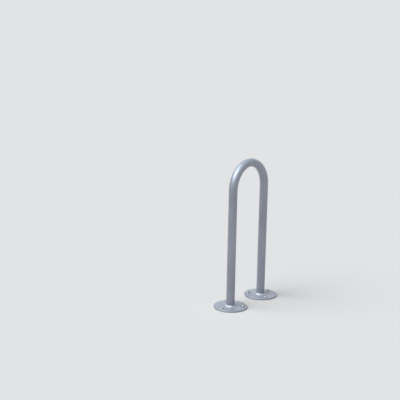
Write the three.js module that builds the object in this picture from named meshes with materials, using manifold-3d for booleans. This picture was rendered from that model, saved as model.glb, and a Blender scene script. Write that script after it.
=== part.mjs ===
// Hoop bike rack: a steel tube bent into an upside-down U, with each leg welded to a round floor flange
// that three low-headed security screws hold down on washers.
// Millimetres, +Z up. The origin is on the ground midway between the feet, +X points to the right foot,
// and the hoop lies in the XZ plane.

import * as THREE from 'three';
import Module from 'manifold-3d';
import { mergeVertices, toCreasedNormals } from 'three/addons/utils/BufferGeometryUtils.js';

const wasm = await Module();
wasm.setup();

// Hoop
const hoopHeight = 700;          // ground to the top of the bend
const legSpacing = 240;          // between the two legs' axes
const tubeDiameter = 40;
const tubeWall = 2.5;

// Floor flanges
const flangeDiameter = 160;
const flangeThickness = 8;
const flangeTopRound = 2;        // radius along the rim's upper edge
const flangeLowerBreak = 0.6;    // chamfer along the rim's lower edge
const drainLedge = 7.5;          // flange left under the bore, round the drain hole

// Weld beads
const weldLeg = 6;               // size of the fillet along the flange and up the tube
const weldCrown = 0.9;           // bulge of the bead over a straight fillet
const weldClearance = 0.3;       // round the tube, between its facets and the bead's

// Screws and washers
const screwDiameter = 10;
const screwHeadOverhang = 3.75;  // head beyond the shank, all round
const screwHeadHeight = 5.5;
const screwHeadRim = 1;          // upright band round the head, below its dome
const screwHeadFlat = 0.4;       // flat ring left on top, round the socket's corners
const screwTipChamfer = 1;
const screwTipLift = 0.5;        // from the ground to the shank's end
const socketWidth = 6;           // across the hexagon's flats
const socketDepth = 3.4;
const socketPinDiameter = 2.4;
const socketPinDrop = 0.5;       // from the top of the head down to the pin
const washerThickness = 2;
const washerOverhang = 1.25;     // washer beyond the screw head, all round
const washerClearance = 0.25;    // between the shank and the washer's bore
const washerEdgeRound = 0.5;
const holeClearance = 1;         // between the shank and the flange's hole
const washerEdgeMargin = 10;     // from the washer to the flange's rim

// One overrun for every cut
const cutOverrun = 1;

// Counts
const screwsPerFlange = 3;
const tubeSides = 36;
const bendSteps = 36;
const legSteps = 1;
const flangeSides = 60;
const weldSides = 36;
const weldSteps = 5;
const fixingSides = 20;
const hexagonSides = 6;
const domeSteps = 4;
const rimSteps = 3;
const washerSteps = 1;

// Edges sharper than this stay crisp
const creaseAngle = THREE.MathUtils.degToRad(35);

// Sizes that follow from the ones above
const tubeRadius = tubeDiameter / 2;
const bendRadius = legSpacing / 2;
const bendCentreHeight = hoopHeight - tubeRadius - bendRadius;
const boreRadius = tubeRadius - tubeWall;
const flangeRadius = flangeDiameter / 2;
const shankRadius = screwDiameter / 2;
const headRadius = shankRadius + screwHeadOverhang;
const washerRadius = headRadius + washerOverhang;
const screwCircleRadius = flangeRadius - washerEdgeMargin - washerRadius;

// Materials
const metal = (color, roughness, metalness) => () => (
  new THREE.MeshStandardMaterial({ color, roughness, metalness })
);
const coatedSteel = metal(0x9195a1, 0.5, 0.35);
const coatedWeld = metal(0xacb0b7, 0.38, 0.35);
const stainlessSteel = metal(0xaeb1b6, 0.3, 0.9);
const zincPlate = metal(0xa5a9af, 0.45, 0.8);

// The hoop's centre line: up the left leg, over the half circle, down the right leg.
// Its stations follow the parameter, so the straight legs take few of them and the bend takes the rest.
class HoopCurve extends THREE.Curve {
  constructor(footHeight) {
    super();
    this.footHeight = footHeight;
    this.legShare = legSteps / (2 * legSteps + bendSteps);
  }

  bendAngle(t) {
    return Math.PI * (1 - THREE.MathUtils.clamp((t - this.legShare) / (1 - 2 * this.legShare), 0, 1));
  }

  getPoint(t, target = new THREE.Vector3()) {
    const angle = this.bendAngle(t);
    const climb = Math.min(t, 1 - t, this.legShare) / this.legShare;
    const height = THREE.MathUtils.lerp(this.footHeight, bendCentreHeight, climb);
    return target.set(bendRadius * Math.cos(angle), 0, height + bendRadius * Math.sin(angle));
  }

  getTangent(t, target = new THREE.Vector3()) {
    const angle = this.bendAngle(t);
    return target.set(Math.sin(angle), 0, -Math.cos(angle));
  }

  getUtoTmapping(u) {
    return u;
  }
}

// A closed mesh with only its positions, so that each corner is shared
function sharedCorners(geometry) {
  const bare = geometry.clone();
  bare.deleteAttribute('normal');
  bare.deleteAttribute('uv');
  return mergeVertices(bare);
}

// The triangles that keep three different corners: an outline that starts on the axis also gives some that
// are closed up to a line
function openTriangles(geometry) {
  const corners = geometry.getIndex().array;
  const kept = [];
  for (let i = 0; i < corners.length; i += 3) {
    const [a, b, c] = corners.slice(i, i + 3);
    if (a !== b && b !== c && c !== a) {
      kept.push(a, b, c);
    }
  }
  return kept;
}

// Between three.js geometry and the solids that are joined and cut
function solidFrom(geometry) {
  const merged = sharedCorners(geometry);
  return new wasm.Manifold(new wasm.Mesh({
    numProp: 3,
    vertProperties: new Float32Array(merged.getAttribute('position').array),
    triVerts: new Uint32Array(openTriangles(merged)),
  }));
}

function geometryFrom(solid) {
  const mesh = solid.getMesh();
  const geometry = new THREE.BufferGeometry();
  geometry.setAttribute('position', new THREE.BufferAttribute(mesh.vertProperties, 3));
  geometry.setIndex(new THREE.BufferAttribute(mesh.triVerts, 1));
  return geometry;
}

// The same shape with smooth curves between crisp edges
function finished(geometry) {
  return toCreasedNormals(sharedCorners(geometry), creaseAngle);
}

// A solid turned about Z from its closed outline, whose points (radius, height) run anticlockwise
function turned(outline, sides) {
  return new THREE.LatheGeometry([...outline, outline[0].clone()], sides).rotateX(Math.PI / 2);
}

// An upright bar about Z, between two heights
function uprightBar(radius, bottom, top, sides) {
  return new THREE.CylinderGeometry(radius, radius, top - bottom, sides)
    .rotateX(Math.PI / 2)
    .translate(0, 0, (bottom + top) / 2);
}

// Points of an arc in the outline plane, from one angle to another
function arcPoints(centreRadius, centreHeight, radius, from, to, steps) {
  const points = [];
  for (let i = 0; i <= steps; i += 1) {
    const angle = THREE.MathUtils.lerp(from, to, i / steps);
    points.push(new THREE.Vector2(
      centreRadius + radius * Math.cos(angle),
      centreHeight + radius * Math.sin(angle),
    ));
  }
  return points;
}

// The bent tube, whose wall stands on both flanges
function hoopTube() {
  const section = new THREE.Shape().absarc(0, 0, tubeRadius, 0, 2 * Math.PI);
  section.holes.push(new THREE.Path().absarc(0, 0, boreRadius, 0, 2 * Math.PI, true));
  return new THREE.ExtrudeGeometry(section, {
    steps: 2 * legSteps + bendSteps,
    curveSegments: tubeSides / 2,
    extrudePath: new HoopCurve(flangeThickness),
  });
}

// The round plate: a drain hole under the tube's bore, a soft upper rim and a ring of screw holes
function floorFlange() {
  const drainRadius = boreRadius - drainLedge;
  const roundCentre = flangeRadius - flangeTopRound;
  const roundBase = flangeThickness - flangeTopRound;
  const plate = turned([
    new THREE.Vector2(drainRadius, 0),
    new THREE.Vector2(flangeRadius - flangeLowerBreak, 0),
    new THREE.Vector2(flangeRadius, flangeLowerBreak),
    ...arcPoints(roundCentre, roundBase, flangeTopRound, 0, Math.PI / 2, rimSteps),
    new THREE.Vector2(drainRadius, flangeThickness),
  ], flangeSides);
  const holeRadius = shankRadius + holeClearance;
  const hole = uprightBar(holeRadius, -cutOverrun, flangeThickness + cutOverrun, fixingSides);
  let solid = solidFrom(plate);
  for (const angle of screwAngles()) {
    const cut = hole.clone().translate(screwCircleRadius, 0, 0).rotateZ(angle);
    solid = solid.subtract(solidFrom(cut));
  }
  return geometryFrom(solid);
}

// The fillet round the tube: from the toe on the flange up to the tube, bulging most halfway
function weldBead() {
  const innerRadius = tubeRadius + weldClearance;
  const outline = [new THREE.Vector2(innerRadius, 0)];
  for (let i = 0; i <= weldSteps; i += 1) {
    const along = i / weldSteps;
    const bulge = weldCrown * Math.sin(Math.PI * along) * Math.SQRT1_2;
    outline.push(new THREE.Vector2(
      innerRadius + weldLeg * (1 - along) + bulge,
      weldLeg * along + bulge,
    ));
  }
  return turned(outline, weldSides);
}

// A button-headed screw with its head's seat at zero: a pin stands in the middle of the hexagon socket
function securityScrew() {
  const tip = -(washerThickness + flangeThickness - screwTipLift);
  const hexagonRadius = socketWidth / Math.sqrt(3);
  const flatRadius = hexagonRadius + screwHeadFlat;
  const outline = [
    new THREE.Vector2(0, tip),
    new THREE.Vector2(shankRadius - screwTipChamfer, tip),
    new THREE.Vector2(shankRadius, tip + screwTipChamfer),
    new THREE.Vector2(shankRadius, 0),
    new THREE.Vector2(headRadius, 0),
  ];
  for (let i = 0; i <= domeSteps; i += 1) {
    const angle = (Math.PI / 2) * (i / domeSteps);
    outline.push(new THREE.Vector2(
      THREE.MathUtils.lerp(flatRadius, headRadius, Math.cos(angle)),
      THREE.MathUtils.lerp(screwHeadRim, screwHeadHeight, Math.sin(angle)),
    ));
  }
  outline.push(new THREE.Vector2(0, screwHeadHeight));
  const floor = screwHeadHeight - socketDepth;
  const hexagon = uprightBar(hexagonRadius, floor, screwHeadHeight + cutOverrun, hexagonSides);
  const pinTop = screwHeadHeight - socketPinDrop;
  const pin = uprightBar(socketPinDiameter / 2, floor - cutOverrun, pinTop, fixingSides / 2);
  const socket = solidFrom(hexagon).subtract(solidFrom(pin));
  return geometryFrom(solidFrom(turned(outline, fixingSides)).subtract(socket));
}

function washer() {
  const bore = shankRadius + washerClearance;
  const roundCentre = washerRadius - washerEdgeRound;
  const roundBase = washerThickness - washerEdgeRound;
  return turned([
    new THREE.Vector2(bore, 0),
    new THREE.Vector2(washerRadius, 0),
    ...arcPoints(roundCentre, roundBase, washerEdgeRound, 0, Math.PI / 2, washerSteps),
    new THREE.Vector2(bore, washerThickness),
  ], fixingSides);
}

// Where the screws stand round a flange, with the first straight out from the hoop
function screwAngles() {
  return Array.from({ length: screwsPerFlange }, (_, i) => (2 * Math.PI * i) / screwsPerFlange);
}

function piece(name, geometry, material) {
  const mesh = new THREE.Mesh(finished(geometry), material);
  mesh.name = name;
  return mesh;
}

// One screw on its washer, standing on the flange
function fixing(side, number) {
  const group = new THREE.Group();
  const disc = piece(`${side}_washer_${number}`, washer(), zincPlate());
  disc.position.z = flangeThickness;
  const screw = piece(`${side}_screw_${number}`, securityScrew(), stainlessSteel());
  screw.position.z = flangeThickness + washerThickness;
  group.add(disc, screw);
  return group;
}

// A foot about its leg's axis, with +X pointing away from the middle of the hoop
function foot(side) {
  const group = new THREE.Group();
  const weld = piece(`${side}_weld`, weldBead(), coatedWeld());
  weld.position.z = flangeThickness;
  group.add(piece(`${side}_flange`, floorFlange(), coatedSteel()), weld);
  screwAngles().forEach((angle, i) => {
    const spoke = new THREE.Group();
    const held = fixing(side, i + 1);
    held.position.x = screwCircleRadius;
    spoke.rotation.z = angle;
    spoke.add(held);
    group.add(spoke);
  });
  return group;
}

const rack = new THREE.Group();
rack.add(piece('hoop_tube', hoopTube(), coatedSteel()));

const rightFoot = foot('right');
rightFoot.position.x = legSpacing / 2;
rack.add(rightFoot);

const leftFoot = foot('left');
leftFoot.position.x = -legSpacing / 2;
leftFoot.rotation.z = Math.PI;
rack.add(leftFoot);

export default rack;
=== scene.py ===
"""Hoop bike rack in its finish: a bent steel tube on two round floor flanges, powder coated silver-grey.

Each piece is a skin computed with numpy on grids of points. Its place and its main sizes are read from the
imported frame, and its finish is a node material. Metres, +Z up, the origin on the ground between the feet,
and the hoop in the XZ plane.
"""

from __future__ import annotations

import logging
import math
from dataclasses import dataclass
from enum import Enum
from functools import cache
from typing import Union

import bmesh
import bpy
import numpy as np
from mathutils import Matrix, Vector


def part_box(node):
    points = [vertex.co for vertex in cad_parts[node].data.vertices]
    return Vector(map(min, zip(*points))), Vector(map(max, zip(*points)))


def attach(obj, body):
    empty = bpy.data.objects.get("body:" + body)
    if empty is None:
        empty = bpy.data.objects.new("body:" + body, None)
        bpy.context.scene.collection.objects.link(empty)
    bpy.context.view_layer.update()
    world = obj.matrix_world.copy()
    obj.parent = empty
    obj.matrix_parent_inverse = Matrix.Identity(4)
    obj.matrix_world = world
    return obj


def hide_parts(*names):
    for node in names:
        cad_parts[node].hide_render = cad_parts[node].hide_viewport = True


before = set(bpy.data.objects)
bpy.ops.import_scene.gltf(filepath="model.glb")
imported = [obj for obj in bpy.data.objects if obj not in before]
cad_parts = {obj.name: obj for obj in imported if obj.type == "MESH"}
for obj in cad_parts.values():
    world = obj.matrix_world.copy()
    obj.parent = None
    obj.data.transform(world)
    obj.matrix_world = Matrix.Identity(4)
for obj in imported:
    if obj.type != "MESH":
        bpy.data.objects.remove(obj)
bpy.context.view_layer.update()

log = logging.getLogger("hoop_rack")

BODY = "root"
MILLIMETRE = 0.001
MICRON = 0.000001
FULL_TURN = 2.0 * math.pi
SCREWS_PER_FLANGE = 3

SCREEN_WHITE = 255.0
SCREEN_TOE = 0.04045
SCREEN_TOE_SLOPE = 12.92
SCREEN_OFFSET = 0.055
SCREEN_POWER = 2.4


class Wear(Enum):
    """Marks that a skin carries for its finish, as attributes: shares from 0 to 1, or metres."""

    RUBBED = "rubbed"
    SHELTERED = "sheltered"
    AXIS_DISTANCE = "axis_distance"


Point = tuple[float, float]
Colour = tuple[float, float, float]
Spread = Union[np.ndarray, float]
Marks = dict[Wear, Spread]
Socket = bpy.types.NodeSocket
Outputs = bpy.types.bpy_prop_collection
Value = Union[Socket, float, tuple]
Inputs = dict[Union[str, int], Value]


def linear_colour(*screen_parts: float) -> Colour:
    """Turns red, green and blue as a screen shows them, from 0 to 255, into the linear ones of shaders.

    Args:
        screen_parts: the three parts.

    Returns:
        The linear parts, from 0 to 1.
    """
    parts = np.array(screen_parts) / SCREEN_WHITE
    low = parts / SCREEN_TOE_SLOPE
    high = ((parts + SCREEN_OFFSET) / (1.0 + SCREEN_OFFSET)) ** SCREEN_POWER
    return tuple(float(part) for part in np.where(parts <= SCREEN_TOE, low, high))


def smooth_step(values: np.ndarray) -> np.ndarray:
    """A ramp from 0 to 1 that leaves and arrives level: 3 t squared less 2 t cubed."""
    held = np.clip(values, 0.0, 1.0)
    return held * held * (3.0 - 2.0 * held)


def fading(distance: np.ndarray, reach: float) -> np.ndarray:
    """A share that is 1 up to a line, and e to the power of minus the distance over the reach past it."""
    return np.exp(-np.clip(distance, 0.0, None) / reach)


def even_steps(start: float, stop: float, count: int) -> np.ndarray:
    """So many even steps from the start towards the stop, which is left out."""
    return np.linspace(start, stop, count, endpoint=False)


def arc(centre: Point, radius: float, start: float, stop: float, steps: int) -> np.ndarray:
    """Points of an arc, with angles in degrees: the centre plus the radius times their cosine and sine."""
    angles = np.radians(np.linspace(start, stop, steps + 1))
    return np.stack([centre[0] + radius * np.cos(angles), centre[1] + radius * np.sin(angles)], axis=1)


def spread_rows(columns: int, *rows: tuple[Spread, Spread]) -> np.ndarray:
    """Spreads rows of (distance from the axis, height) over columns, to a shape of (rows, columns, 2)."""
    spread = [[np.broadcast_to(part, columns) for part in row] for row in rows]
    return np.array(spread).transpose(0, 2, 1)


def turned(outline: np.ndarray, angles: np.ndarray, centre: Point) -> np.ndarray:
    """Carries an outline round an upright axis: x and y are the distance times cosine and sine.

    Args:
        outline: points (distance from the axis, height), of shape (rows, columns or 1, 2).
        angles: the angles of the columns, in radians.
        centre: where the axis stands.

    Returns:
        The grid, of shape (rows, columns, 3).
    """
    distance, height = outline[:, :, 0], outline[:, :, 1]
    x = centre[0] + distance * np.cos(angles)
    y = centre[1] + distance * np.sin(angles)
    return np.stack([x, y, np.broadcast_to(height, x.shape)], axis=2)


def sway(angles: np.ndarray, *waves: tuple[float, float, float]) -> np.ndarray:
    """Adds up waves of (size, count, phase): the size times the sine of count times angle plus phase."""
    return sum(size * np.sin(count * angles + phase) for size, count, phase in waves)


def put_in_scene(name: str, data: bpy.types.ID) -> bpy.types.Object:
    """Makes an object at the origin and links it to the scene.

    Args:
        name: the object's name.
        data: its mesh, lamp or camera.

    Returns:
        The object.
    """
    made = bpy.data.objects.new(name, data)
    bpy.context.scene.collection.objects.link(made)
    return made


class Skin:
    """A closed skin, gathered from grids of points and joined wherever their points meet."""

    JOIN_DISTANCE = 0.05 * MICRON
    CRISP_ANGLE = 32.0

    def __init__(self) -> None:
        """Starts with no points."""
        self.points: list[np.ndarray] = []
        self.corners: list[np.ndarray] = []
        self.marks: dict[Wear, list[np.ndarray]] = {wear: [] for wear in Wear}
        self.total = 0

    def add(self, grid: np.ndarray, marks: Marks, round_rows: bool = False) -> Skin:
        """Adds the quads between neighbouring points of a grid whose last column joins its first.

        Args:
            grid: points of shape (rows, columns, 3).
            marks: values for the finish, which broadcast to (rows, columns).
            round_rows: whether the last row joins the first too.

        Returns:
            The skin itself.
        """
        rows, columns = grid.shape[:2]
        index = np.arange(rows * columns).reshape(rows, columns) + self.total
        if round_rows:
            index = np.vstack([index, index[:1]])
        index = np.hstack([index, index[:, :1]])
        quads = np.stack([index[:-1, :-1], index[:-1, 1:], index[1:, 1:], index[1:, :-1]], axis=2)
        self.points.append(grid.reshape(-1, 3))
        self.corners.append(quads.reshape(-1, 4))
        for wear, values in self.marks.items():
            values.append(np.broadcast_to(marks.get(wear, 0.0), (rows, columns)).reshape(-1))
        self.total += rows * columns
        return self

    @staticmethod
    def faces(quads: np.ndarray) -> list[list[int]]:
        """Keeps quads with four corners, makes triangles of those with three, and drops the rest.

        Args:
            quads: the corners of each quad, some of which may have become one point.

        Returns:
            The corners of each face.
        """
        shut = quads == np.roll(quads, -1, axis=1)
        kept = quads[~shut.any(axis=1)].tolist()
        for corner in range(4):
            narrow = quads[shut[:, corner] & (shut.sum(axis=1) == 1)]
            kept += np.delete(narrow, corner, axis=1).tolist()
        return kept

    @staticmethod
    def turn_outwards(mesh: bpy.types.Mesh) -> None:
        """Turns every face outwards.

        Args:
            mesh: a closed mesh.
        """
        work = bmesh.new()
        work.from_mesh(mesh)
        bmesh.ops.recalc_face_normals(work, faces=work.faces)
        if work.calc_volume(signed=True) < 0.0:
            bmesh.ops.reverse_faces(work, faces=work.faces)
        work.to_mesh(mesh)
        work.free()

    def build(self, name: str, crisp_angle: float = CRISP_ANGLE) -> bpy.types.Object:
        """Joins the points that lie at one place, and makes the object, smooth but for its crisp edges.

        Args:
            name: the object's name.
            crisp_angle: edges that turn by more than this many degrees stay crisp.

        Returns:
            The object.
        """
        points = np.concatenate(self.points)
        places = np.round(points / self.JOIN_DISTANCE).astype(np.int64)
        _, kept, renamed = np.unique(places, axis=0, return_index=True, return_inverse=True)
        quads = renamed.reshape(-1)[np.concatenate(self.corners)]
        mesh = bpy.data.meshes.new(name)
        mesh.from_pydata(points[kept].tolist(), [], self.faces(quads))
        self.turn_outwards(mesh)
        mesh.shade_smooth()
        mesh.set_sharp_from_angle(angle=math.radians(crisp_angle))
        for wear, values in self.marks.items():
            attribute = mesh.attributes.new(wear.value, "FLOAT", "POINT")
            attribute.data.foreach_set("value", np.concatenate(values)[kept].astype(np.float32))
        return put_in_scene(name, mesh)


class Graph:
    """Short ways to write a node tree: each call adds one node and hands back what it puts out."""

    def __init__(self, tree: bpy.types.NodeTree) -> None:
        """Takes the node tree that the calls add to."""
        self.tree = tree

    def fill(self, node: bpy.types.Node, inputs: Inputs) -> None:
        """Feeds a node: a socket is linked, and anything else is set, a colour's three parts with alpha.

        Args:
            node: the node.
            inputs: what its inputs get, by their names or numbers.
        """
        for key, value in inputs.items():
            target = node.inputs[key]
            if isinstance(value, bpy.types.NodeSocket):
                self.tree.links.new(value, target)
            else:
                target.default_value = (*value, 1.0) if target.type == "RGBA" else value

    def node(self, kind: str, inputs: Inputs, **settings: object) -> Outputs:
        """Adds a node.

        Args:
            kind: the node's type name, without its ShaderNode prefix.
            inputs: what its inputs get.
            settings: values for the node's own properties.

        Returns:
            The node's outputs.
        """
        made = self.tree.nodes.new("ShaderNode" + kind)
        for key, value in settings.items():
            setattr(made, key, value)
        self.fill(made, inputs)
        return made.outputs

    def group(self, tree: bpy.types.NodeTree, **inputs: Value) -> Outputs:
        """Places a node group."""
        return self.node("Group", inputs, node_tree=tree)

    def place(self, scale: tuple[float, float, float] = (1.0, 1.0, 1.0), turn: float = 0.0) -> Socket:
        """The place on the piece in metres, stretched, and turned about Y by an angle in degrees."""
        given = {"Vector": self.node("TexCoord", {})["Object"], "Scale": scale}
        return self.node("Mapping", given | {"Rotation": (0.0, math.radians(turn), 0.0)})["Vector"]

    def noise(self, where: Socket, waves: Value, detail: float = 2.0, roughness: float = 0.5) -> Socket:
        """Noise from 0 to 1, with so many waves in a metre."""
        given = {"Vector": where, "Scale": waves, "Detail": detail, "Roughness": roughness}
        return self.node("TexNoise", given)["Fac"]

    def math(self, operation: str, *values: Value, clamp: bool = False) -> Socket:
        """A sum of up to three values, by the operation's name."""
        return self.node("Math", dict(enumerate(values)), operation=operation, use_clamp=clamp)[0]

    def times(self, first: Value, second: Value) -> Socket:
        """The first value times the second."""
        return self.math("MULTIPLY", first, second)

    def rest(self, share: Value, whole: Value = 1.0, clamp: bool = False) -> Socket:
        """What a share leaves of the whole."""
        return self.math("SUBTRACT", whole, share, clamp=clamp)

    def remap(self, value: Value, low: Value, high: Value, start: float = 0.0, stop: float = 1.0) -> Socket:
        """Carries the range from low to high over to the one from start to stop, held at its ends."""
        given = {"Value": value, "From Min": low, "From Max": high, "To Min": start, "To Max": stop}
        return self.node("MapRange", given, interpolation_type="SMOOTHSTEP")["Result"]

    def blend(self, share: Value, first: Value, second: Value) -> Socket:
        """The colour that goes from the first to the second with the share."""
        return self.node("Mix", {0: share, 6: first, 7: second}, data_type="RGBA")[2]

    def mark(self, wear: Wear) -> Socket:
        """The skin's own mark of that kind."""
        return self.node("Attribute", {}, attribute_name=wear.value)["Fac"]

    def bump(self, height: Socket, depth: float, **under: Socket) -> Socket:
        """A normal bent by a height from 0 to 1 that stands for so many metres, over the Normal under it."""
        return self.node("Bump", {"Height": height, "Distance": depth} | under)["Normal"]

    def show_mix(self, share: Socket, first: Socket, second: Socket, output: str) -> None:
        """Ends the tree in a mix that goes from the first shader to the second with the share."""
        mixed = self.node("MixShader", {0: share, 1: first, 2: second})[0]
        self.fill(self.tree.nodes[output], {"Surface": mixed})


class GroupGraph(Graph):
    """The graph of a node group, whose inputs and outputs are numbers with names."""

    def __init__(self, name: str, inputs: dict[str, float], *outputs: str) -> None:
        """Starts the group.

        Args:
            name: the group's name.
            inputs: each input's name and usual value.
            outputs: the outputs' names.
        """
        super().__init__(bpy.data.node_groups.new(name, "ShaderNodeTree"))
        add_socket = self.tree.interface.new_socket
        for key, value in inputs.items():
            add_socket(key, in_out="INPUT", socket_type="NodeSocketFloat").default_value = value
        for key in outputs:
            add_socket(key, in_out="OUTPUT", socket_type="NodeSocketFloat")
        self.given = self.tree.nodes.new("NodeGroupInput").outputs
        self.target = self.tree.nodes.new("NodeGroupOutput")

    def closed(self, **outputs: Socket) -> bpy.types.NodeTree:
        """Feeds the group's outputs and hands it over."""
        self.fill(self.target, outputs)
        return self.tree


class Effects:
    """The effects that several finishes share, each a node group that is built once."""

    FINE_RIPPLES = 3.1
    FINE_SHARE = 0.25
    FLAKES = 9.0
    DRIFT_STRETCH = (1.0, 1.0, 0.45)
    SPLASH_POWER = 2.0
    SPLASH_SHARE = 0.5
    LYING_SHARE = 0.55
    SCRATCH_STRETCH = (1.0, 1.0, 34.0)
    SCRATCH_TURNS_AND_WAVES = ((7.0, 46.0), (-13.0, 38.0))
    CHIP_SHARE = 0.3

    @classmethod
    @cache
    def orange_peel(cls) -> bpy.types.NodeTree:
        """The soft ripple of baked powder, and the fine sparkle of the flakes in it.

        Returns:
            The group. It counts its fine ripples and its flakes by the coarse ripples.
        """
        graph = GroupGraph("orange_peel", {"Waves": 420.0}, "Height", "Sparkle")
        where, waves = graph.place(), graph.given["Waves"]
        coarse = graph.noise(where, waves, detail=1.0, roughness=0.4)
        fine = graph.noise(where, graph.times(waves, cls.FINE_RIPPLES), detail=1.0)
        flakes = graph.noise(where, graph.times(waves, cls.FLAKES), detail=0.0)
        height = graph.math("MULTIPLY_ADD", coarse, 1.0 - cls.FINE_SHARE, graph.times(fine, cls.FINE_SHARE))
        return graph.closed(Height=height, Sparkle=graph.remap(flakes, low=0.55, high=0.78))

    @classmethod
    @cache
    def tone_drift(cls) -> bpy.types.NodeTree:
        """A slow drift of the tone over the piece, from 0 to 1.

        Returns:
            The group.
        """
        graph = GroupGraph("tone_drift", {"Waves": 9.0}, "Drift")
        where = graph.place(cls.DRIFT_STRETCH)
        return graph.closed(Drift=graph.noise(where, graph.given["Waves"], detail=3.0, roughness=0.55))

    @classmethod
    @cache
    def settled_dust(cls) -> bpy.types.NodeTree:
        """Dust of the ground: on what faces up, low on what stands, and most in sheltered corners.

        Returns:
            The group, which puts out the dust as a mask, and a second mask over all that faces up, which the
            coat fills with a painted sheen of pale sky light laid as a thin dust layer.
        """
        usual = {"Amount": 0.5, "Reach": 0.12, "Shelter": 1.0}
        graph = GroupGraph("settled_dust", usual, "Mask", "Film")
        where = graph.place()
        upright = graph.node("SeparateXYZ", {0: graph.node("NewGeometry", {})["Normal"]})["Z"]
        facing = graph.remap(upright, low=0.2, high=0.95)
        height = graph.node("SeparateXYZ", {0: where})["Z"]
        level = graph.math("DIVIDE", height, graph.given["Reach"])
        low = graph.remap(level, low=0.0, high=1.0, start=1.0, stop=0.0)
        splash = graph.times(graph.math("POWER", low, cls.SPLASH_POWER), cls.SPLASH_SHARE)
        lying = graph.times(graph.times(facing, low), cls.LYING_SHARE)
        corner = graph.times(graph.mark(Wear.SHELTERED), graph.given["Shelter"])
        total = graph.math("ADD", graph.math("ADD", splash, lying), corner)

        patches = graph.noise(where, waves=60.0, detail=5.0, roughness=0.62)
        specks = graph.noise(where, waves=900.0)
        uneven_patches = graph.remap(patches, low=0.3, high=0.72)
        uneven = graph.times(uneven_patches, graph.remap(specks, low=0.2, high=0.75, start=0.4))
        grain_patches = graph.remap(patches, low=0.25, high=0.7, start=0.55)
        grain = graph.times(grain_patches, graph.remap(specks, low=0.3, high=0.7, start=0.75))
        strength = graph.times(total, graph.given["Amount"])
        mask = graph.math("MULTIPLY", strength, uneven, clamp=True)
        # The second mask, on all that faces up, carries a painted sheen: the coat paints pale bluish sky
        # light there, laid as a thin layer of dust.
        return graph.closed(Mask=mask, Film=graph.times(facing, grain))

    @classmethod
    @cache
    def fine_scratches(cls) -> bpy.types.NodeTree:
        """Thin lines in two slants, thickest where the skin is marked as rubbed.

        Returns:
            The group.
        """
        graph = GroupGraph("fine_scratches", {"Amount": 0.5}, "Mask")
        lines = []
        for turn, waves in cls.SCRATCH_TURNS_AND_WAVES:
            streak = graph.noise(graph.place(cls.SCRATCH_STRETCH, turn), waves, roughness=0.6)
            lines.append(graph.remap(streak, low=0.62, high=0.69))
        patches = graph.remap(graph.noise(graph.place(), waves=16.0, detail=3.0), low=0.42, high=0.6)
        marked = graph.times(graph.math("MAXIMUM", *lines), graph.times(graph.mark(Wear.RUBBED), patches))
        return graph.closed(Mask=graph.math("MULTIPLY", marked, graph.given["Amount"], clamp=True))

    @classmethod
    @cache
    def chipped_edge(cls) -> bpy.types.NodeTree:
        """Small chips, where the rubbed mark and a noise together pass a threshold.

        Returns:
            The group.
        """
        graph = GroupGraph("chipped_edge", {"Amount": 0.5, "Waves": 240.0}, "Mask")
        chips = graph.noise(graph.place(), graph.given["Waves"], detail=3.0, roughness=0.6)
        reach = graph.times(graph.mark(Wear.RUBBED), graph.given["Amount"])
        level = graph.math("ADD", chips, graph.times(reach, cls.CHIP_SHARE))
        return graph.closed(Mask=graph.remap(level, low=0.8, high=0.84))

    @classmethod
    @cache
    def turning_lines(cls) -> bpy.types.NodeTree:
        """The fine rings that a tool or a press leaves round a piece's own axis, as a height.

        Returns:
            The group.
        """
        graph = GroupGraph("turning_lines", {"Spacing": 0.25 * MILLIMETRE}, "Height")
        rings = graph.math("DIVIDE", graph.mark(Wear.AXIS_DISTANCE), graph.given["Spacing"])
        given = {"W": rings, "Scale": 1.0, "Detail": 2.0}
        return graph.closed(Height=graph.node("TexNoise", given, noise_dimensions="1D")["Fac"])


@dataclass(frozen=True)
class Surface:
    """What every material has: a name, and its main colour."""

    name: str
    colour: Colour

    @cache
    def material(self) -> bpy.types.Material:
        """Makes the material when it is first asked for, and hands over the same one after that.

        Returns:
            The material.
        """
        made = bpy.data.materials.new(self.name)
        made.use_nodes = True
        self.dress(Graph(made.node_tree), made.node_tree.nodes["Principled BSDF"])
        return made

    def dress(self, graph: Graph, shader: bpy.types.Node) -> None:
        """Feeds the material's shader, in a way of its own for each kind of surface."""
        raise NotImplementedError


@dataclass(frozen=True)
class Finish(Surface):
    """The surface of a piece, which also has the slot that it stands for."""

    slot: str


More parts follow.
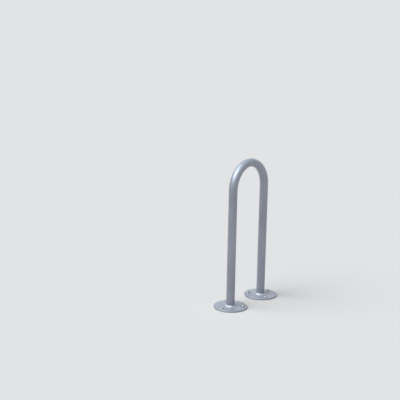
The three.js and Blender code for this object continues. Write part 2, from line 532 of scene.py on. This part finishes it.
@dataclass(frozen=True)
class PowderCoat(Finish):
    """Satin powder coat with metallic flake over galvanised steel."""

    metallic: float = 0.85
    roughness: float = 0.5
    roughness_drift: float = 0.035
    deepest_tone: float = 0.90
    palest_tone: float = 1.09
    peel_waves: float = 420.0
    peel_depth: float = 140.0 * MICRON
    drift_waves: float = 9.0
    sparkle: float = 0.16
    scratches: float = 0.8
    scratch_shine: float = 0.45
    scratch_roughness: float = 0.16
    scratch_depth: float = 12.0 * MICRON
    chips: float = 0.4
    chip_depth: float = 60.0 * MICRON
    dust: float = 0.3
    dust_roughness: float = 0.4
    # How strongly the painted sheen of sky light is laid on what faces up.
    film: float = 0.5
    gloss: float = 0.6
    gloss_roughness: float = 0.36
    flake_colour: Colour = linear_colour(208, 212, 224)
    dust_colour: Colour = linear_colour(184, 177, 168)
    # Pale and bluish: a painted sheen of sky light on what faces up, laid as a thin layer of dust.
    film_colour: Colour = linear_colour(186, 196, 211)
    zinc_colour: Colour = linear_colour(150, 152, 153)

    def dress(self, graph: Graph, shader: bpy.types.Node) -> None:
        """Feeds the coat with its drift, and over it flakes, scratches, chips, a painted sheen on what faces
        up and dust.

        Args:
            graph: the material's graph.
            shader: the material's shader.
        """
        peel = graph.group(Effects.orange_peel(), Waves=self.peel_waves)
        drift = graph.group(Effects.tone_drift(), Waves=self.drift_waves)["Drift"]
        settled = graph.group(Effects.settled_dust(), Amount=self.dust)
        # Painted sheen: pale bluish sky light on what faces up, laid as a thin layer of dust that also dulls
        # the metal.
        dust, film = settled["Mask"], graph.times(settled["Film"], self.film)
        lines = graph.group(Effects.fine_scratches(), Amount=self.scratches)["Mask"]
        chips = graph.group(Effects.chipped_edge(), Amount=self.chips)["Mask"]

        tones = (self.deepest_tone, self.palest_tone)
        deep, pale = (tuple(tone * part for part in self.colour) for tone in tones)
        coat = graph.blend(graph.remap(drift, low=0.3, high=0.7), deep, pale)
        for share, colour in (
            (graph.times(peel["Sparkle"], self.sparkle), self.flake_colour),
            (graph.times(lines, self.scratch_shine), self.flake_colour),
            (chips, self.zinc_colour),
            (film, self.film_colour),
            (dust, self.dust_colour),
        ):
            coat = graph.blend(share, coat, colour)

        least, most = self.roughness - self.roughness_drift, self.roughness + self.roughness_drift
        even = graph.remap(drift, low=0.25, high=0.75, start=least, stop=most)
        scratched = graph.math("MULTIPLY_ADD", lines, self.scratch_roughness, even)
        clean = graph.rest(film, whole=graph.rest(dust), clamp=True)
        rippled = graph.bump(peel["Height"], self.peel_depth)
        cut = graph.bump(graph.rest(lines), self.scratch_depth, Normal=rippled)
        shader_inputs = {
            "Base Color": coat,
            "Metallic": graph.times(clean, self.metallic),
            "Roughness": graph.math("MULTIPLY_ADD", dust, self.dust_roughness, scratched),
            "Normal": graph.bump(graph.rest(chips), self.chip_depth, Normal=cut),
            "Coat Weight": self.gloss,
            "Coat Roughness": self.gloss_roughness,
        }
        graph.fill(shader, shader_inputs)


@dataclass(frozen=True)
class BareMetal(Finish):
    """Turned or pressed metal with no paint: tool rings, a slow bloom and dust."""

    roughness: float
    ring_spacing: float
    ring_depth: float
    bloom: float
    bloom_colour: Colour
    bloom_roughness: float = 0.22
    drift_waves: float = 170.0
    ring_roughness: float = 0.06
    dust: float = 0.25
    dust_roughness: float = 0.5
    dust_colour: Colour = linear_colour(152, 151, 150)

    def dress(self, graph: Graph, shader: bpy.types.Node) -> None:
        """Feeds the metal with its rings, and over it bloom and dust.

        Args:
            graph: the material's graph.
            shader: the material's shader.
        """
        rings = graph.group(Effects.turning_lines(), Spacing=self.ring_spacing)["Height"]
        drift = graph.group(Effects.tone_drift(), Waves=self.drift_waves)["Drift"]
        dust = graph.group(Effects.settled_dust(), Amount=self.dust)["Mask"]

        bloom = graph.times(graph.remap(drift, low=0.42, high=0.68), self.bloom)
        metal = graph.blend(bloom, self.colour, self.bloom_colour)
        least, most = self.roughness - self.ring_roughness, self.roughness + self.ring_roughness
        ringed = graph.remap(rings, low=0.3, high=0.7, start=least, stop=most)
        bloomed = graph.math("MULTIPLY_ADD", bloom, self.bloom_roughness, ringed)
        shader_inputs = {
            "Base Color": graph.blend(dust, metal, self.dust_colour),
            "Metallic": graph.rest(dust),
            "Roughness": graph.math("MULTIPLY_ADD", dust, self.dust_roughness, bloomed),
            "Normal": graph.bump(rings, self.ring_depth),
        }
        graph.fill(shader, shader_inputs)


@dataclass(frozen=True)
class FrameNode:
    """A round node of the frame: its name, upright axis, radius, lowest and highest level, and width."""

    name: str
    centre: Point
    radius: float
    base: float
    top: float
    width: float

    @classmethod
    def read(cls, name: str) -> FrameNode:
        """Reads a node's box, whose depth along Y gives the radius.

        Args:
            name: the node's name.

        Returns:
            The node.
        """
        low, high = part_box(name)
        centre = (low.x + high.x) / 2.0, (low.y + high.y) / 2.0
        return cls(name, centre, (high.y - low.y) / 2.0, low.z, high.z, high.x - low.x)


class Side(Enum):
    """The two feet, each with the direction along X that points away from the middle of the hoop."""

    LEFT = -1.0
    RIGHT = 1.0

    @property
    def label(self) -> str:
        """The side's word in the names of its pieces."""
        return self.name.lower()

    def read(self, kind: str) -> FrameNode:
        """Reads this side's node of that kind."""
        return FrameNode.read(f"{self.label}_{kind}")


@dataclass
class Piece:
    """A piece of the rack, with the node of the frame that it stands for."""

    name: str
    own: FrameNode

    def build(self) -> bpy.types.Object:
        """Makes the piece's object."""
        raise NotImplementedError

    def hand_over(self, finish: Finish) -> None:
        """Makes the piece, dresses it, hangs it on the body, hides the node of the frame whose place it
        takes, and reports it.

        Args:
            finish: the piece's finish.
        """
        piece, node = self.build(), self.own.name
        piece.data.materials.append(finish.material())
        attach(piece, BODY)
        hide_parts(node)
        log.info("%s: %d faces, in %s", piece.name, len(piece.data.polygons), finish.name)


@dataclass
class HoopTube(Piece):
    """One round steel tube: up the left leg, over a half circle, down the right leg."""

    weld_top: float
    wall: float = 2.5 * MILLIMETRE
    flattening: float = 0.05
    flattening_run: float = 20.0
    sides: int = 96
    leg_steps: int = 30
    bend_steps: int = 96
    rub_height: float = 0.46
    rub_spread: float = 0.17
    weld_shelter: float = 0.6
    shelter_reach: float = 5.0 * MILLIMETRE

    @property
    def bend_radius(self) -> float:
        """Half the distance between the middles of the legs."""
        return (self.own.width - 2.0 * self.own.radius) / 2.0

    def stations(self) -> tuple[np.ndarray, np.ndarray]:
        """The stations along the centre line.

        The bend angle holds at 180 degrees up the left leg, falls evenly to 0 over the bend and stays there.
        The height rises along the leg, is the bend centre's plus the bend radius times the angle's sine, and
        falls again.

        Returns:
            The bend angle in radians and the height of each station.
        """
        bend_centre = self.own.top - self.own.radius - self.bend_radius
        up = even_steps(self.own.base, bend_centre, self.leg_steps)
        over = np.linspace(math.pi, 0.0, self.bend_steps + 1)
        angles = np.concatenate([np.full(self.leg_steps, math.pi), over, np.zeros(self.leg_steps)])
        heights = np.concatenate([up, bend_centre + self.bend_radius * np.sin(over), up[::-1]])
        return angles, heights

    def wall_surface(self, radius: float) -> np.ndarray:
        """A round section carried along the centre line, slightly flattened where the tube is bent.

        Each point is the station's centre plus the radius times (cosine along the bend's outward direction,
        sine along Y). In the bend the first part is a little shorter and the second a little longer.

        Args:
            radius: the section's radius.

        Returns:
            The grid, of shape (stations, sides, 3).
        """
        angles, heights = self.stations()
        turn = even_steps(0.0, FULL_TURN, self.sides)
        bent = smooth_step(np.sin(angles) / math.sin(math.radians(self.flattening_run)))
        inward = radius * (1.0 - self.flattening * bent)
        across = radius * (1.0 + self.flattening * bent)
        level = np.zeros_like(angles)
        outward = np.stack([np.cos(angles), level, np.sin(angles)], axis=1)
        centre = np.stack([self.bend_radius * np.cos(angles), level, heights], axis=1)
        reach = inward[:, None, None] * np.cos(turn)[None, :, None] * outward[:, None, :]
        sideways = across[:, None, None] * np.sin(turn)[None, :, None] * np.array([0.0, 1.0, 0.0])
        return centre[:, None, :] + reach + sideways

    def build(self) -> bpy.types.Object:
        """Makes the tube from its outer and inner wall, which join in a ring at each foot.

        Returns:
            The tube, rubbed along both sides and sheltered just above its welds.
        """
        outside = self.wall_surface(self.own.radius)
        inside = self.wall_surface(self.own.radius - self.wall)
        grid = np.concatenate([outside, inside[::-1]])
        height = grid[:, :, 2]
        leaned_on = np.exp(-(((height - self.rub_height) / self.rub_spread) ** 2))
        side_facing = np.abs(grid[:, :, 1]) / self.own.radius
        sheltered = self.weld_shelter * fading(height - self.weld_top, self.shelter_reach)
        marks = {Wear.RUBBED: leaned_on * side_facing, Wear.SHELTERED: sheltered}
        return Skin().add(grid, marks, round_rows=True).build(self.name)


@dataclass
class FloorFlange(Piece):
    """A round steel plate with a soft upper rim, a drain hole in its middle and a ring of screw holes."""

    side: Side
    weld: FrameNode
    washer: FrameNode
    screw: FrameNode
    hole_count: int = SCREWS_PER_FLANGE
    hole_radius: float = 6.0 * MILLIMETRE
    drain_radius: float = 10.0 * MILLIMETRE
    rim_round: float = 2.0 * MILLIMETRE
    rim_break: float = 0.6 * MILLIMETRE
    hole_break: float = 0.4 * MILLIMETRE
    rim_steps: int = 24
    spoke_steps: int = 18
    drain_steps: int = 12
    surface_steps: int = 14
    surface_crowding: float = 1.4
    round_steps: int = 8
    washer_shelter: float = 0.8
    shelter_reach: float = 3.0 * MILLIMETRE
    rubbed_reach: float = 2.5 * MILLIMETRE

    @property
    def hole_circle(self) -> float:
        """The radius of the ring of holes, on which the screw stands."""
        return abs(self.screw.centre[0] - self.own.centre[0])

    @property
    def flat_radius(self) -> float:
        """Where the flat top meets the round of the rim."""
        return self.own.radius - self.rim_round

    @property
    def drain_edge(self) -> float:
        """Where the flat faces meet the drain hole's broken edge."""
        return self.drain_radius + self.hole_break

    def hole_angle(self, number: int) -> float:
        """The angle of a screw hole, of which the first lies straight out from the hoop."""
        first = 0.0 if self.side is Side.RIGHT else math.pi
        return first + FULL_TURN * number / self.hole_count

    def sector_border(self) -> np.ndarray:
        """The border of the slice of plate round one hole, before it is turned to its place.

        It runs half the outer arc, in along the spoke, back round the drain hole, out along the other spoke
        and over the other half of the outer arc.

        Returns:
            The points in the plane, of shape (columns, 2).
        """
        half = math.pi / self.hole_count
        near, far = self.drain_edge, self.flat_radius
        stretches = (
            (even_steps(0.0, half, self.rim_steps), far),
            (half, even_steps(far, near, self.spoke_steps)),
            (even_steps(half, -half, self.drain_steps), near),
            (-half, even_steps(near, far, self.spoke_steps)),
            (even_steps(-half, 0.0, self.rim_steps), far),
        )
        angles, distance = np.concatenate([np.broadcast_arrays(*pair) for pair in stretches], axis=1)
        return np.stack([distance * np.cos(angles), distance * np.sin(angles)], axis=1)

    def sector(self, number: int) -> np.ndarray:
        """The slice of plate round one hole: lower face, broken edge, hole wall, broken edge, upper face.

        A point of a face lies on the straight line from the hole's edge to the border, and each row of them
        is a share of the way along. The slice is then turned round the plate's axis.

        Args:
            number: which hole, from 0.

        Returns:
            The grid, of shape (rows, columns, 3).
        """
        border = self.sector_border()
        middle = np.array([self.hole_circle, 0.0])
        away = border - middle
        away /= np.linalg.norm(away, axis=1, keepdims=True)
        wide = middle + (self.hole_radius + self.hole_break) * away
        narrow = (middle + self.hole_radius * away)[None]
        shares = np.linspace(0.0, 1.0, self.surface_steps + 1)[:, None, None] ** self.surface_crowding
        face = wide + shares * (border - wide)
        plane = np.concatenate([face[::-1], narrow, narrow, face])
        top = self.own.top
        levels = np.repeat([0.0, self.hole_break, top - self.hole_break, top], [len(face), 1, 1, len(face)])
        cos, sin = math.cos(self.hole_angle(number)), math.sin(self.hole_angle(number))
        x = self.own.centre[0] + (plane[:, :, 0] * cos - plane[:, :, 1] * sin)
        y = self.own.centre[1] + (plane[:, :, 0] * sin + plane[:, :, 1] * cos)
        return np.stack([x, y, np.broadcast_to(levels[:, None], x.shape)], axis=2)

    def carried_round(self, steps: int, *outline: Point) -> np.ndarray:
        """Carries an outline round the plate's axis, in columns that meet the slices' own points.

        Args:
            steps: the columns for each hole.
            outline: the outline's points.

        Returns:
            The grid, of shape (rows, columns, 3).
        """
        total = self.hole_count * steps
        first = self.hole_angle(0) + math.pi / self.hole_count
        angles = first + FULL_TURN * np.arange(total) / total
        return turned(spread_rows(1, *outline), angles, self.own.centre)

    def marks(self, grid: np.ndarray) -> Marks:
        """Rubbed at the rim's upper edge, and sheltered along the weld and round the washers.

        Args:
            grid: points of the plate.

        Returns:
            The marks at each point.
        """
        x, y = grid[:, :, 0] - self.own.centre[0], grid[:, :, 1] - self.own.centre[1]
        distance = np.hypot(x, y)
        sheltered = fading(distance - self.weld.radius, self.shelter_reach)
        for angle in map(self.hole_angle, range(self.hole_count)):
            away = np.hypot(x - self.hole_circle * math.cos(angle), y - self.hole_circle * math.sin(angle))
            near = self.washer_shelter * fading(away - self.washer.radius, self.shelter_reach)
            sheltered = np.maximum(sheltered, near)
        up = smooth_step(grid[:, :, 2] / self.own.top)
        rubbed = fading(np.abs(distance - self.flat_radius), self.rubbed_reach)
        return {Wear.RUBBED: rubbed * up, Wear.SHELTERED: sheltered * up}

    def build(self) -> bpy.types.Object:
        """Makes the plate from its slices, its rim and the wall of its drain hole.

        Returns:
            The plate.
        """
        top = self.own.top
        rim = self.carried_round(
            2 * self.rim_steps,
            *arc((self.flat_radius, top - self.rim_round), self.rim_round, 90.0, 0.0, self.round_steps),
            (self.own.radius, self.rim_break),
            (self.own.radius - self.rim_break, 0.0),
            (self.flat_radius, 0.0),
        )
        drain = self.carried_round(
            self.drain_steps,
            (self.drain_edge, 0.0),
            (self.drain_radius, self.hole_break),
            (self.drain_radius, top - self.hole_break),
            (self.drain_edge, top),
        )
        skin = Skin()
        for grid in (*map(self.sector, range(self.hole_count)), rim, drain):
            skin.add(grid, self.marks(grid))
        return skin.build(self.name)


@dataclass
class WeldBead(Piece):
    """The fillet that joins a leg to its flange: overlapping ripples under the coat, with two restarts."""

    side: Side
    tube_radius: float
    ripples: int = 46
    ripple_height: float = 0.34 * MILLIMETRE
    ripple_lag: float = 0.55
    crest_power: float = 0.8
    envelope_power: float = 0.6
    crown: float = 0.9 * MILLIMETRE
    restart_angle: float = 0.9
    restart_height: float = 0.5 * MILLIMETRE
    restart_spread: float = 0.13
    toe_wander: float = 0.05
    toe_nibble: float = 0.12 * MILLIMETRE
    toe_shelter: float = 0.75
    shelter_power: float = 2.5
    sink: float = 0.35 * MILLIMETRE
    crisp_angle: float = 60.0
    columns_per_ripple: int = 10
    rows: int = 22

    def surface(self, turn: np.ndarray, along: np.ndarray) -> np.ndarray:
        """The bead's face, from its toe on the flange up to the tube.

        Without ripples the face is a straight fillet plus a crown that follows half a sine. Each ripple adds
        a half sine of its own, and its front lags behind towards both toes, which gives the crescents. Two
        low humps mark where the bead was started and stopped, and the toes wander slowly round the tube.

        Args:
            turn: the columns' angles, in radians.
            along: the rows' shares of the way from the flange to the tube.

        Returns:
            The outline points (distance from the axis, height), of shape (rows, columns, 2).
        """
        share = along[:, None]
        inner = math.pi * share
        shift = self.side.value
        lag = self.ripple_lag * (2.0 * share - 1.0) ** 2
        phase = self.ripples * (turn / FULL_TURN) + lag + sway(turn, (0.28, 3.0, shift), (0.2, 7.0, 2.0))
        crest = np.abs(np.sin(math.pi * phase)) ** self.crest_power
        envelope = np.sin(inner) ** self.envelope_power
        start = self.restart_angle + shift
        restarts = sum(
            np.exp(-((np.angle(np.exp(1j * (turn - at))) / self.restart_spread) ** 2))
            for at in (start, start + math.pi)
        )
        slow = sway(turn, (1.0, 2.0, 1.0 + shift), (0.6, 5.0, 0.0))
        size = (self.own.top - self.own.base) * (1.0 + self.toe_wander * slow)
        rise = (self.ripple_height * (crest - 0.5) + self.restart_height * restarts) * envelope
        bulge = (self.crown * np.sin(inner) + rise) / math.sqrt(2.0)
        nibble = self.toe_nibble * crest * (1.0 - envelope)
        distance = self.tube_radius + size * (1.0 - share) + bulge + nibble * (1.0 - share)
        height = self.own.base + size * share + bulge + nibble * share
        return np.stack([distance, height], axis=2)

    def build(self) -> bpy.types.Object:
        """Makes the bead: its face, then under the tube's and the flange's skin back to the toe.

        Returns:
            The bead, sheltered along both its toes.
        """
        turn = even_steps(0.0, FULL_TURN, self.ripples * self.columns_per_ripple)
        along = np.linspace(0.0, 1.0, self.rows + 1)
        face = self.surface(turn, along)
        behind, below = self.tube_radius - self.sink, self.own.base - self.sink
        hidden_rows = ((behind, face[-1, :, 1]), (behind, below), (face[0, :, 0] - self.sink, below))
        outline = np.concatenate([face, spread_rows(len(turn), *hidden_rows)])
        shares = np.concatenate([along, [1.0, 0.5, 0.0]])[:, None]
        marks = {Wear.SHELTERED: self.toe_shelter * np.abs(2.0 * shares - 1.0) ** self.shelter_power}
        skin = Skin().add(turned(outline, turn, self.own.centre), marks, round_rows=True)
        return skin.build(self.name, self.crisp_angle)


@dataclass
class SecurityScrew(Piece):
    """A low button-headed screw: a hexagon socket with a pin in its middle, and a thread on its shank."""

    seat: float
    turns: int
    shank_radius: float = 5.0 * MILLIMETRE
    rim_height: float = 1.0 * MILLIMETRE
    rim_round: float = 0.35 * MILLIMETRE
    flat_width: float = 0.5 * MILLIMETRE
    socket_width: float = 6.0 * MILLIMETRE
    socket_depth: float = 3.4 * MILLIMETRE
    socket_break: float = 0.15 * MILLIMETRE
    socket_margin: float = 1.2
    pin_radius: float = 1.2 * MILLIMETRE
    pin_drop: float = 0.5 * MILLIMETRE
    pin_break: float = 0.3 * MILLIMETRE
    tip_chamfer: float = 1.0 * MILLIMETRE
    thread_pitch: float = 1.5 * MILLIMETRE
    thread_depth: float = 0.85 * MILLIMETRE
    columns: int = 72
    rim_steps: int = 4
    dome_steps: int = 14
    rows_per_pitch: int = 10
    degrees_per_turn: float = 47.0

    def head_outline(self) -> np.ndarray:
        """The turned outline from the head's underside over its rim and dome to the flat round the socket.

        The dome is a quarter of an ellipse between the rim's upper edge and the flat.

        Returns:
            The points, of (distance from the axis, height).
        """
        flat = self.socket_width / math.sqrt(3.0) + self.socket_break + self.flat_width
        quarter = np.linspace(0.0, math.pi / 2.0, self.dome_steps + 1)
        foot = self.seat + self.rim_height
        dome_distance = flat + (self.own.radius - flat) * np.cos(quarter)
        dome_height = foot + (self.own.top - foot) * np.sin(quarter)
        rim_centre = (self.own.radius - self.rim_round, self.seat + self.rim_round)
        rim = arc(rim_centre, self.rim_round, -90.0, 0.0, self.rim_steps)
        return np.concatenate([rim, np.stack([dome_distance, dome_height], axis=1)])

    def shank_rows(self) -> tuple[np.ndarray, np.ndarray]:
        """The shank's rows: their heights, and how deep the thread is cut there as a share.

        Returns:
            The heights from the chamfer's top to the seat, and the shares.
        """
        start = self.own.base + self.tip_chamfer
        count = int(self.rows_per_pitch * (self.seat - start) / self.thread_pitch)
        heights = np.linspace(start, self.seat, count + 1)
        shares = smooth_step((heights - start) / self.thread_pitch)
        return heights, shares * smooth_step((self.seat - heights) / self.thread_pitch)

    def build(self) -> bpy.types.Object:
        """Makes the screw as stacked rings, which turn from round to hexagonal at the socket.

        In the thread a ring's radius is the shank's less the depth times a triangle wave of the height over
        the pitch less the angle over a full turn.

        Returns:
            The screw.
        """
        turn = even_steps(0.0, FULL_TURN, self.columns)
        heights, cut = self.shank_rows()
        wave = np.mod(heights[:, None] / self.thread_pitch - turn / FULL_TURN, 1.0)
        thread = self.shank_radius - self.thread_depth * cut[:, None] * np.abs(2.0 * wave - 1.0)
        top, floor = self.own.top, self.own.top - self.socket_depth
        pin_top = top - self.pin_drop
        half_width = self.socket_width / 2.0
        sixth = math.pi / 3.0
        hexagon = 1.0 / np.cos(np.mod(turn, sixth) - sixth / 2.0)
        outline = spread_rows(
            self.columns,
            (0.0, self.own.base),
            (self.shank_radius - self.tip_chamfer, self.own.base),
            *zip(thread, heights),
            *self.head_outline(),
            ((half_width + self.socket_break) * hexagon, top),
            (half_width * hexagon, top - self.socket_break),
            (half_width * hexagon, floor),
            (self.pin_radius, floor),
            (self.pin_radius, pin_top - self.pin_break),
            (self.pin_radius - self.pin_break, pin_top),
            (0.0, pin_top),
        )
        distance, height = outline[:, :, 0], outline[:, :, 1]
        in_socket = (distance < half_width * self.socket_margin) & (height > floor - self.socket_break)
        deep = smooth_step((top - height) / self.socket_depth) * in_socket
        grid = turned(outline, turn + math.radians(self.degrees_per_turn) * self.turns, self.own.centre)
        return Skin().add(grid, {Wear.SHELTERED: deep, Wear.AXIS_DISTANCE: distance}).build(self.name)


@dataclass
class Washer(Piece):
    """A pressed round washer: its upper edge rolled over, its lower edge crisp."""

    head_radius: float
    bore_radius: float = 5.25 * MILLIMETRE
    edge_round: float = 0.5 * MILLIMETRE
    lower_break: float = 0.12 * MILLIMETRE
    columns: int = 96
    round_steps: int = 5
    face_steps: int = 8
    shelter_reach: float = 0.5 * MILLIMETRE

    def build(self) -> bpy.types.Object:
        """Makes the washer by carrying its closed outline round its axis.

        Returns:
            The washer, sheltered along the edge of the screw's head.
        """
        own = self.own
        outer, inner = own.radius - self.edge_round, self.bore_radius + self.edge_round
        level = own.top - self.edge_round
        span = np.linspace(outer, inner, self.face_steps + 1)[1:-1]
        outline = spread_rows(
            1,
            (self.bore_radius + self.lower_break, own.base),
            (own.radius - self.lower_break, own.base),
            (own.radius, own.base + self.lower_break),
            *arc((outer, level), self.edge_round, 0.0, 90.0, self.round_steps),
            *np.stack([span, np.full_like(span, own.top)], axis=1),
            *arc((inner, level), self.edge_round, 90.0, 180.0, self.round_steps),
            (self.bore_radius, own.base + self.lower_break),
        )
        distance = outline[:, :, 0]
        sheltered = fading(np.abs(distance - self.head_radius), self.shelter_reach)
        grid = turned(outline, even_steps(0.0, FULL_TURN, self.columns), own.centre)
        marks = {Wear.SHELTERED: sheltered, Wear.AXIS_DISTANCE: distance}
        return Skin().add(grid, marks, round_rows=True).build(self.name)


@dataclass(frozen=True)
class Rack:
    """The whole hoop rack: the finishes of its pieces, and the order of their making."""

    coat: Finish = PowderCoat("silver_grey_coat", linear_colour(145, 149, 161), "coated_steel")
    # The weld's coat is the tube's own powder coat painted lighter: a painted highlight, so that each bead
    # shows as a bright ring.
    weld_coat: Finish = PowderCoat(
        "silver_grey_coat_on_weld",
        linear_colour(172, 176, 183),
        "coated_weld",
        roughness=0.44,
        chips=0.0,
    )
    stainless: Finish = BareMetal(
        "turned_stainless",
        linear_colour(174, 177, 182),
        "stainless_steel",
        roughness=0.27,
        ring_spacing=0.22 * MILLIMETRE,
        ring_depth=9.0 * MICRON,
        bloom=0.35,
        bloom_colour=linear_colour(148, 150, 153),
    )
    zinc: Finish = BareMetal(
        "zinc_plated_steel",
        linear_colour(165, 169, 175),
        "zinc_plate",
        roughness=0.42,
        ring_spacing=0.5 * MILLIMETRE,
        ring_depth=5.0 * MICRON,
        bloom=0.6,
        bloom_colour=linear_colour(140, 143, 147),
    )

    def build(self) -> None:
        """Makes the tube, then each foot."""
        tube = HoopTube("bent_tube", FrameNode.read("hoop_tube"), Side.LEFT.read("weld").top)
        tube.hand_over(self.coat)
        for side in Side:
            self.build_foot(side, tube.own.radius)

    def build_foot(self, side: Side, tube_radius: float) -> None:
        """Makes a foot's flange, its weld bead, and the washers and screws that hold it down.

        Args:
            side: which foot.
            tube_radius: the radius of the tube that stands on it.
        """
        label = side.label
        plate, weld, washer, screw = map(side.read, ("flange", "weld", "washer_1", "screw_1"))
        FloorFlange(f"{label}_floor_flange", plate, side, weld, washer, screw).hand_over(self.coat)
        # The bead gets the coat painted lighter, a painted highlight round the foot of the leg.
        WeldBead(f"{label}_weld_bead", weld, side, tube_radius).hand_over(self.weld_coat)
        for number in range(1, SCREWS_PER_FLANGE + 1):
            washer, screw = side.read(f"washer_{number}"), side.read(f"screw_{number}")
            turns = number + SCREWS_PER_FLANGE * (side is Side.RIGHT)
            Washer(f"{label}_plain_washer_{number}", washer, screw.radius).hand_over(self.zinc)
            name = f"{label}_security_screw_{number}"
            SecurityScrew(name, screw, washer.top, turns).hand_over(self.stainless)


@dataclass(frozen=True)
class Lamp:
    """A far soft lamp: where it stands, how strong and how wide it is, and its tint."""

    name: str
    direction: tuple[float, float, float]
    strength: float
    spread: float
    tint: Colour

    def level(self) -> np.ndarray:
        """The light that it lays on level ground, in the three colours, where 1 shows paint as written."""
        upright = self.direction[2] / float(np.linalg.norm(self.direction))
        return self.strength * upright / math.pi * np.array(self.tint)

    def hang(self) -> None:
        """Adds the lamp to the scene."""
        lamp = bpy.data.lights.new(self.name, "SUN")
        lamp.energy = self.strength
        lamp.color = self.tint
        lamp.angle = math.radians(self.spread)
        held = put_in_scene(self.name, lamp)
        held.rotation_mode = "QUATERNION"
        held.rotation_quaternion = Vector(self.direction).to_track_quat("Z", "Y")


@dataclass(frozen=True)
class FloorPaper(Surface):
    """Matt paper, whose far parts glow in the background's colour so that no edge shows."""

    glow_colour: Colour
    fade_start: float = 5.0
    fade_stop: float = 14.0

    def dress(self, graph: Graph, shader: bpy.types.Node) -> None:
        """Feeds the paper's plain colour, and mixes it with its glow by the distance from the rack.

        Args:
            graph: the material's graph.
            shader: the material's shader.
        """
        graph.fill(shader, {"Base Color": self.colour, "Roughness": 1.0, "Specular IOR Level": 0.0})
        distance = graph.node("VectorMath", {0: graph.place()}, operation="LENGTH")["Value"]
        far = graph.remap(distance, low=self.fade_start, high=self.fade_stop)
        glow = graph.node("Emission", {"Color": self.glow_colour})[0]
        graph.show_mix(far, shader.outputs[0], glow, "Material Output")


@dataclass(frozen=True)
class Studio:
    """A plain pale floor that runs into a background of its own colour, under two large soft lamps."""

    floor_colour: Colour = (0.765, 0.72, 0.68)
    floor_half: float = 60.0
    sky_light: float = 0.16
    sky_tint: Colour = (0.94, 0.99, 1.06)
    lamps: tuple[Lamp, ...] = (
        Lamp("side_lamp", (-0.52, 0.26, 0.815), 2.85, 50.0, (0.93, 0.995, 1.06)),
        Lamp("top_lamp", (-0.35, 0.0, 0.94), 0.6, 80.0, (0.86, 0.97, 1.10)),
    )

    @property
    def background(self) -> Colour:
        """The lit floor's own colour: its paint times the light of the lamps and of the sky."""
        light = sum(lamp.level() for lamp in self.lamps) + self.sky_light * np.array(self.sky_tint)
        return tuple(float(part) for part in np.array(self.floor_colour) * light)

    def build(self) -> None:
        """Lays the floor, sets the world and hangs the lamps."""
        self.lay_floor()
        self.set_world()
        for lamp in self.lamps:
            lamp.hang()

    def lay_floor(self) -> None:
        """Lays a flat square of paper."""
        reach = self.floor_half
        corners = [(-reach, -reach, 0.0), (reach, -reach, 0.0), (reach, reach, 0.0), (-reach, reach, 0.0)]
        mesh = bpy.data.meshes.new("studio_floor")
        mesh.from_pydata(corners, [], [(0, 1, 2, 3)])
        floor = put_in_scene("studio_floor", mesh)
        paper = FloorPaper("studio_floor_paper", self.floor_colour, self.background)
        mesh.materials.append(paper.material())

    def set_world(self) -> None:
        """Lights from all round at a plain level, and shows the background's colour to camera and gloss."""
        world = bpy.data.worlds.new("studio_world")
        world.use_nodes = True
        bpy.context.scene.world = world
        graph = Graph(world.node_tree)
        light = world.node_tree.nodes["Background"]
        graph.fill(light, {"Color": self.sky_tint, "Strength": self.sky_light})
        seen = graph.node("Background", {"Color": self.background})[0]
        ray = graph.node("LightPath", {})
        shown = graph.math("MAXIMUM", ray["Is Camera Ray"], ray["Is Glossy Ray"])
        shown = graph.math("MAXIMUM", shown, ray["Is Transmission Ray"])
        graph.show_mix(shown, light.outputs[0], seen, "World Output")


@dataclass(frozen=True)
class PhotoCamera:
    """The camera where the photograph was taken from, found by fitting the hoop's outline."""

    place: tuple[float, float, float] = (-3.019, -2.246, 1.309)
    heading: float = 40.14
    pitch: float = -12.20
    roll: float = 0.94
    focal_length: float = 73.25
    sensor_width: float = 36.0

    def build(self) -> None:
        """Makes the camera: heading is from +X, pitch is above the horizon, roll lifts its right side."""
        heading, pitch, roll = (math.radians(angle) for angle in (self.heading, self.pitch, self.roll))
        ahead, aside = math.cos(heading) * math.cos(pitch), math.sin(heading) * math.cos(pitch)
        forward = Vector((ahead, aside, math.sin(pitch)))
        level_right = Vector((math.sin(heading), -math.cos(heading), 0.0))
        level_up = level_right.cross(forward)
        right = level_right * math.cos(roll) + level_up * math.sin(roll)
        up = right.cross(forward)
        data = bpy.data.cameras.new("photo_camera")
        data.sensor_width = self.sensor_width
        data.lens = self.focal_length
        camera = put_in_scene("photo_camera", data)
        aim = Matrix((right, up, -forward)).transposed().to_4x4()
        camera.matrix_world = Matrix.Translation(self.place) @ aim
        bpy.context.scene.camera = camera


def main() -> None:
    """Builds the camera, the studio and the rack, in that order."""
    logging.basicConfig(level=logging.INFO, format="%(name)s: %(message)s")
    bpy.context.scene.view_settings.view_transform = "Standard"
    PhotoCamera().build()
    Studio().build()
    Rack().build()


if __name__ == "__main__":
    main()
